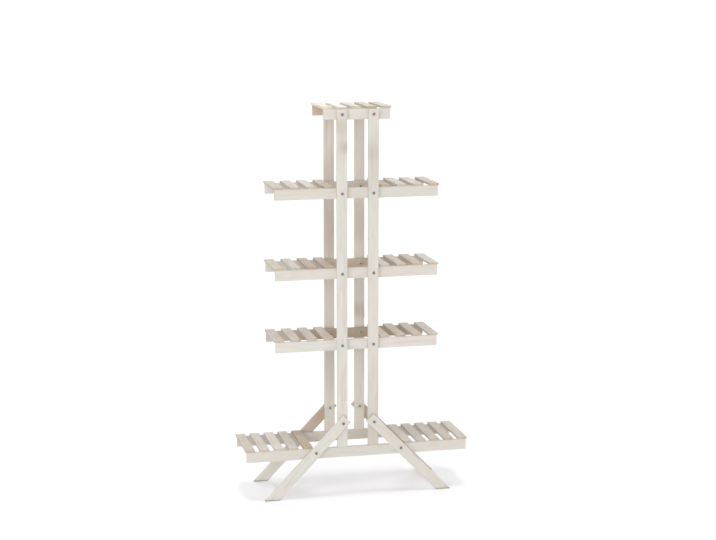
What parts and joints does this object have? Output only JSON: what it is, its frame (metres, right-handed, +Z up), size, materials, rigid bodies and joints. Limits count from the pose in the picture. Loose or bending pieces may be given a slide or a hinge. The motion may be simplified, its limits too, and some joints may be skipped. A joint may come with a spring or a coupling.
{
  "type": "tiered plant stand",
  "caption": "Narrow ladder plant stand: slatted tiers bolted between slim front and back posts, widening to a broad bottom tier on splayed legs.",
  "frame": {"origin": "on the floor under the middle of the stand", "axes": "+Z up; +X to the right seen from the front; +Y to the back, so the front faces -Y"},
  "size_m": [0.83, 0.2678, 1.419],
  "materials": {
    "whitewashed_post": "softwood under a thin matt white wash, grain and knots showing through",
    "whitewashed_rail": "softwood under a thin matt white wash, grain and knots showing through",
    "whitewashed_leg": "softwood under a thin matt white wash, grain and knots showing through",
    "whitewashed_slat": "softwood under a thin matt white wash, browner where it is rubbed",
    "dark_zinc": "dull dark zinc plate",
    "bright_zinc": "bright zinc plate"
  },
  "bodies": {
    "root": {"post_front_left": "whitewashed_post", "post_front_right": "whitewashed_post", "post_back_left": "whitewashed_post", "post_back_right": "whitewashed_post", "rail_1_front": "whitewashed_rail", "rail_1_back": "whitewashed_rail", "rail_2_front": "whitewashed_rail", "rail_2_back": "whitewashed_rail", "rail_3_front": "whitewashed_rail", "rail_3_back": "whitewashed_rail", "rail_4_front": "whitewashed_rail", "rail_4_back": "whitewashed_rail", "rail_5_front": "whitewashed_rail", "rail_5_back": "whitewashed_rail", "leg_front_left": "whitewashed_leg", "leg_front_right": "whitewashed_leg", "leg_back_left": "whitewashed_leg", "leg_back_right": "whitewashed_leg", "slat_1_1": "whitewashed_slat", "slat_1_2": "whitewashed_slat", "slat_1_3": "whitewashed_slat", "slat_1_4": "whitewashed_slat", "slat_1_5": "whitewashed_slat", "slat_2_left_1": "whitewashed_slat", "slat_2_left_2": "whitewashed_slat", "slat_2_left_3": "whitewashed_slat", "slat_2_left_4": "whitewashed_slat", "slat_2_right_1": "whitewashed_slat", "slat_2_right_2": "whitewashed_slat", "slat_2_right_3": "whitewashed_slat", "slat_2_right_4": "whitewashed_slat", "slat_3_left_1": "whitewashed_slat", "slat_3_left_2": "whitewashed_slat", "slat_3_left_3": "whitewashed_slat", "slat_3_left_4": "whitewashed_slat", "slat_3_right_1": "whitewashed_slat", "slat_3_right_2": "whitewashed_slat", "slat_3_right_3": "whitewashed_slat", "slat_3_right_4": "whitewashed_slat", "slat_4_left_1": "whitewashed_slat", "slat_4_left_2": "whitewashed_slat", "slat_4_left_3": "whitewashed_slat", "slat_4_left_4": "whitewashed_slat", "slat_4_right_1": "whitewashed_slat", "slat_4_right_2": "whitewashed_slat", "slat_4_right_3": "whitewashed_slat", "slat_4_right_4": "whitewashed_slat", "slat_5_left_1": "whitewashed_slat", "slat_5_left_2": "whitewashed_slat", "slat_5_left_3": "whitewashed_slat", "slat_5_left_4": "whitewashed_slat", "slat_5_left_5": "whitewashed_slat", "slat_5_right_1": "whitewashed_slat", "slat_5_right_2": "whitewashed_slat", "slat_5_right_3": "whitewashed_slat", "slat_5_right_4": "whitewashed_slat", "slat_5_right_5": "whitewashed_slat", "bolts": "dark_zinc", "washers": "bright_zinc", "nuts": "bright_zinc"}
  },
  "joints": []
}
